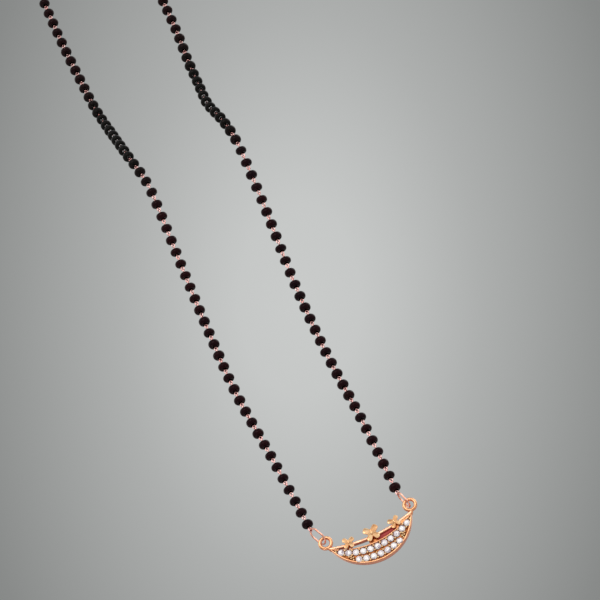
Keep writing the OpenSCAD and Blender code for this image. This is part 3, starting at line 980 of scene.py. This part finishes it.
def smooth_curve(points, fine=12):
    """A smooth curve through chosen points, as many fine ones."""
    curve = []
    for k in range((len(points) - 1) * fine + 1):
        u = k / fine
        i = min(len(points) - 2, int(u))
        t = u - i
        b, c = points[i], points[i + 1]
        a = 2 * b - c if i == 0 else points[i - 1]
        d = 2 * c - b if i == len(points) - 2 else points[i + 2]
        bend = (2 * a - 5 * b + 4 * c - d) * t**2
        sway = (3 * b - a - 3 * c + d) * t**3
        curve.append(0.5 * (2 * b + (c - a) * t + bend + sway))
    return curve


class Strand:
    """The line of one strand: its length, its even step, and the place and run of each bead on it."""

    def __init__(self, link_name, route, side):
        foot, lean, _, link_l, _ = LINKS[link_name]
        top = foot + (link_l - 2 * link_r) * Vector((math.sin(lean), 0, math.cos(lean)))
        chosen = [top] + [Vector(p) * MM for p in route] + turn_points(side)
        self.curve = np.array(smooth_curve(chosen))
        steps = np.linalg.norm(np.diff(self.curve, axis=0), axis=1)
        self.runs = np.concatenate([[0], np.cumsum(steps)])
        self.length = self.runs[-1]
        free = self.length - 2 * eye_to_bead
        self.count = int(free / bead_pitch) + 1
        self.step = free / (self.count - 1)
        eye_out = (eye_d + end_wire) / 2
        between = [eye_to_bead + (k - 0.5) * self.step for k in range(1, self.count)]
        corners = [self.at(s) for s in [eye_out] + between + [self.length - eye_out]]
        self.joints = [self.at(0)] + corners[1:-1] + [self.at(self.length)]
        self.beads = []
        for k in range(self.count):
            run = (corners[k + 1] - corners[k]).normalized()
            middle = (corners[k] + corners[k + 1]) / 2
            if k == 0:
                middle = corners[0] + run * (eye_to_bead - eye_out)
            if k == self.count - 1:
                middle = corners[-1] - run * (eye_to_bead - eye_out)
            self.beads.append((middle, run))

    def at(self, s):
        return Vector([float(np.interp(s, self.runs, self.curve[:, k])) for k in range(3)])


strands = {
    "left": Strand("left_link", LEFT_ROUTE, -1),
    "right": Strand("right_link", RIGHT_ROUTE, 1),
}


def bead_profile():
    """A bead's section from its hole over its rounded lip and belly and back into the hole."""
    half_l = bead_l / 2
    outline = [
        (bead_hole_r, -half_l * 0.45),
        (bead_hole_r, -half_l + 2.4 * lip),
        (bead_hole_r + 0.35 * lip, -half_l + 0.9 * lip),
        (bead_hole_r + 1.1 * lip, -half_l + 0.25 * lip),
    ]
    belly_steps = 13
    belly = bead_d / 2 - bead_hole_r - 2 * lip
    for k in range(belly_steps + 1):
        a = -math.pi / 2 + math.pi * k / belly_steps
        bulge = abs(math.cos(a))
        outline.append((bead_hole_r + 2 * lip + belly * bulge, half_l * math.sin(a)))
    outline += [(r, -z) for r, z in reversed(outline[:4])]
    return outline


def bead_shape():
    """The bead as a closed ring of sections about its hole, which runs along Z."""
    sides = 28
    angles = [2 * math.pi * k / sides for k in range(sides)]
    profile = bead_profile()
    sections = [[Vector((r * math.cos(a), r * math.sin(a), z)) for r, z in profile] for a in angles]
    return loft(sections, hoop=True)


bead_glass = bpy.data.materials.new("black_glass")
bead_glass.use_nodes = True
b = Nodes(bead_glass.node_tree)
bead_place = b.add("TexCoord").outputs["Object"]
tint_noise = b.add("TexNoise", {"Vector": bead_place, "Scale": 140.0, "Detail": 2.0}).outputs["Fac"]
plum_tint = b.ramp(
    tint_noise,
    [
        (0.3, (0.006, 0.0025, 0.0045)),
        (0.45, (0.01, 0.0025, 0.004)),
        (0.6, (0.015, 0.0025, 0.0035)),
        (0.72, (0.006, 0.0035, 0.003)),
    ],
)
# The black has a plum cast, but a faint green one where the string turns over the collar, and a trace
# of that above it
green_tint = (0.0045, 0.007, 0.006, 1)
green_from_z = -0.11
green_to_z = -0.05
bead_height = b.add("SeparateXYZ", {0: bead_place}).outputs["Z"]
up_share = b.add("MapRange", {0: bead_height, 1: green_from_z, 2: green_to_z}).outputs[0]
green_share = b.ramp(
    up_share, [(0, (0, 0, 0)), (0.25, (1, 1, 1)), (0.6, (1, 1, 1)), (0.9, (0.25, 0.25, 0.25))]
)
bead_tint = b.add("MixRGB", {0: green_share, 1: plum_tint, 2: green_tint}).outputs[0]
bead_waves = b.add("TexNoise", {"Vector": bead_place, "Scale": 900.0, "Detail": 3.0}).outputs["Fac"]
bead_rough = b.add("MapRange", {0: bead_waves, 1: 0.3, 2: 0.7, 3: 0.2, 4: 0.42}).outputs[0]
bead_relief = b.add("Bump", {"Height": bead_waves, "Strength": 0.3, "Distance": 0.05 * MM}).outputs[0]
bead_gloss = b.add(
    "BsdfPrincipled",
    {
        "Base Color": bead_tint,
        "Roughness": bead_rough,
        "IOR": 1.19,
        "Specular Tint": (1, 0.66, 0.68, 1),
        "Normal": bead_relief,
    },
)
b.add("OutputMaterial", {"Surface": bead_gloss.outputs[0]})

one_bead = bead_shape()
# The beads' real widths and lengths, as shares of their nominal ones, and how crooked they hang
WIDTHS = (1.04, 1.09)
LENGTHS = (0.76, 0.94)
crooked = 0.03
dice = random.Random(7)
for side_name, strand in strands.items():
    shells = []
    for middle, run in strand.beads:
        size = Vector([dice.uniform(*limits) for limits in (WIDTHS, WIDTHS, LENGTHS)])
        tilt = Vector([dice.gauss(0, crooked) for _ in range(3)])
        stand = Matrix.LocRotScale(middle, (run + tilt).to_track_quat("Z", "Y"), size)
        shells.append(moved(one_bead, stand))
    beads = build("black_beads_" + side_name, shells, bead_glass, sharp=60)
    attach(beads, "string")
    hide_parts("beads_" + side_name)

# The eye pins that chain the beads
# Each bead rides on its own pin of bright rose gold wire. The pin's ends are bent into long eyes that
# reach out of the hole, and the eyes of neighbouring pins are hooked in each other, crosswise.
pin_r = 0.15 * MM
pin_eye_r = 0.3 * MM
# How far from its bead's middle each eye of a pin starts
pin_start = 0.86 * MM
pin_reach = 1.05 * pin_start
# How far an eye reaches past the joint with the next eye, with a link and with the clasp's ring
hook_past = pin_r
link_hook = link_r + pin_r
clasp_hook = end_wire / 2 + pin_r
twist_spread = math.radians(16)


def eye_path(start, end, face, steps=8):
    """A long closed eye from start to end whose plane faces a direction."""
    run = (end - start).normalized()
    side = run.cross(face).normalized()
    near, far = start + pin_eye_r * run, end - pin_eye_r * run
    path = []
    for k in range(steps + 1):
        a = math.pi * k / steps
        path.append(far + pin_eye_r * (math.cos(a) * side + math.sin(a) * run))
    for k in range(steps + 1):
        a = math.pi * k / steps
        path.append(near - pin_eye_r * (math.cos(a) * side + math.sin(a) * run))
    return path


pin_finish = plated_gold(
    "bright_rose_wire",
    (0.96, 0.63, 0.59),
    (0.84, 0.43, 0.4),
    (0.3, 0.07, 0.065),
    (0.8, 0.36, 0.34),
    rough=0.18,
)
for side_name, strand in strands.items():
    shells = []
    last = strand.count - 1
    twists = [dice.gauss(0, twist_spread) for _ in strand.joints]
    for k, (middle, run) in enumerate(strand.beads):
        shells.append(wire([middle - pin_reach * run, middle + pin_reach * run], pin_r, sides=8))
        for sign, joint_no in ((-1, k), (1, k + 1)):
            joint = strand.joints[joint_no]
            reach = hook_past
            face = forward if sign < 0 else run.cross(forward)
            face = Matrix.Rotation(twists[joint_no], 3, run) @ face
            if joint_no == 0:
                _, lean, turn, _, _ = LINKS[side_name + "_link"]
                reach = link_hook
                face = Matrix.Rotation(lean, 3, "Y") @ Vector((math.sin(turn), math.cos(turn), 0))
            if joint_no == last + 1:
                reach = clasp_hook
                face = Vector((0, 1, 0))
            start = middle + sign * pin_start * run
            toward = (joint - start).normalized()
            eye = eye_path(start, joint + reach * toward, face)
            shells.append(wire(eye, pin_r, sides=8, hoop=True))
    pins = build("eye_pins_" + side_name, shells, pin_finish, sharp=50)
    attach(pins, "string")
    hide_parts("wire_" + side_name)

# The clasp behind the neck
# A plain screw barrel of plated brass, turned in two halves that meet at its middle, with a soldered
# eye at each end that a strand's last eye hooks round.
# The barrel from one end to its middle: its radius and the distance from the middle, in millimetres
BARREL = [
    (0, 4), (0.55, 4), (0.8, 3.92), (0.95, 3.75), (1.1, 3.4), (1.38, 3.1), (1.48, 2.8), (1.5, 2.2),
    (1.5, 0.25), (1.45, 0.14), (1.33, 0.08), (1.33, 0),
]
barrel_profile = [(r * MM, -x * MM) for r, x in BARREL]
barrel_profile += [(r * MM, x * MM) for r, x in reversed(BARREL[:-1])]
lie_across = Matrix.Rotation(math.radians(90), 4, "Y")
lie_flat = Matrix.Rotation(math.radians(90), 4, "X")
clasp_eye = wire(hoop_path((eye_d - end_wire) / 2, steps=32), end_wire / 2, sides=10, hoop=True)
clasp_shells = [moved(lathe(barrel_profile, sides=48), lie_across)]
for side in (-1, 1):
    clasp_shells.append(moved(clasp_eye, Matrix.Translation((side * clasp_ring_x, 0, 0)) @ lie_flat))
clasp = build("barrel_clasp", clasp_shells, gold_finish)
clasp.data.transform(Matrix.Translation((0, 0, clasp_d / 2)))
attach(clasp, "string")
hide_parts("clasp")
